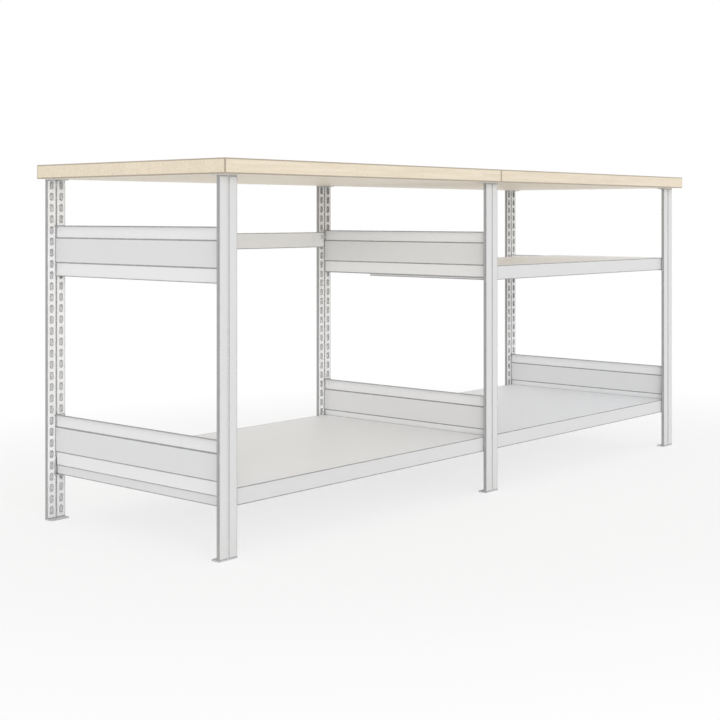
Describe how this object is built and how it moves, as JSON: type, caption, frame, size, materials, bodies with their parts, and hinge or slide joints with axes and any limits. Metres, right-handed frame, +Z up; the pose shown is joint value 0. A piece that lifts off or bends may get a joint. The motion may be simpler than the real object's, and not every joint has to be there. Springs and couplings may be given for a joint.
{
  "type": "assembly table",
  "caption": "Workbench of slotted steel posts with wood worktops end to end, full-depth lower shelves, ribbed side panels, a rear tie and a shallower upper shelf.",
  "frame": {"origin": "on the floor, under the middle of the worktops", "axes": "+X along the table towards the bay with the upper shelf, +Y towards the back, +Z up"},
  "size_m": [2.08, 0.69, 0.893],
  "materials": {
    "post_paint": "satin light grey powder coat",
    "panel_paint": "satin light grey powder coat",
    "plate_paint": "satin grey powder coat",
    "zinc_fastener": "bright zinc plating",
    "zinc_sheet": "zinc plated sheet",
    "worktop_beech": "clear satin lacquer",
    "dowel_beech": "plain turned beech"
  },
  "bodies": {
    "root": {"left_frame_bolts": "zinc_fastener", "left_frame_nuts": "zinc_fastener", "left_front_foot_plate": "plate_paint", "left_front_head_plate": "plate_paint", "left_front_post": "post_paint", "left_lower_panel": "panel_paint", "left_lower_panel_strips": "panel_paint", "left_lower_shelf": "panel_paint", "left_rear_foot_plate": "plate_paint", "left_rear_head_plate": "plate_paint", "left_rear_post": "post_paint", "left_shelf_clips": "zinc_sheet", "left_shelf_front_stiffener": "panel_paint", "left_shelf_rear_stiffener": "panel_paint", "left_upper_panel": "panel_paint", "left_upper_panel_strips": "panel_paint", "left_worktop": "worktop_beech", "left_worktop_screws": "zinc_fastener", "middle_frame_bolts": "zinc_fastener", "middle_frame_nuts": "zinc_fastener", "middle_front_foot_plate": "plate_paint", "middle_front_head_plate": "plate_paint", "middle_front_post": "post_paint", "middle_lower_panel": "panel_paint", "middle_lower_panel_strips": "panel_paint", "middle_rear_foot_plate": "plate_paint", "middle_rear_head_plate": "plate_paint", "middle_rear_post": "post_paint", "middle_shelf_clips": "zinc_sheet", "middle_shelf_rail": "panel_paint", "middle_upper_panel": "panel_paint", "middle_upper_panel_strips": "panel_paint", "rear_tie": "panel_paint", "right_frame_bolts": "zinc_fastener", "right_frame_nuts": "zinc_fastener", "right_front_foot_plate": "plate_paint", "right_front_head_plate": "plate_paint", "right_front_post": "post_paint", "right_lower_panel": "panel_paint", "right_lower_panel_strips": "panel_paint", "right_lower_shelf": "panel_paint", "right_rail_strips": "panel_paint", "right_rear_foot_plate": "plate_paint", "right_rear_head_plate": "plate_paint", "right_rear_post": "post_paint", "right_shelf_clips": "zinc_sheet", "right_shelf_front_stiffener": "panel_paint", "right_shelf_rail": "panel_paint", "right_shelf_rear_stiffener": "panel_paint", "right_worktop": "worktop_beech", "right_worktop_screws": "zinc_fastener", "shelf_side_screws": "zinc_fastener", "tie_bolts": "zinc_fastener", "tie_nuts": "zinc_fastener", "upper_shelf": "panel_paint", "upper_shelf_clips": "zinc_sheet", "upper_shelf_ends": "panel_paint", "upper_shelf_stiffener": "panel_paint", "worktop_dowels": "dowel_beech"}
  },
  "joints": []
}
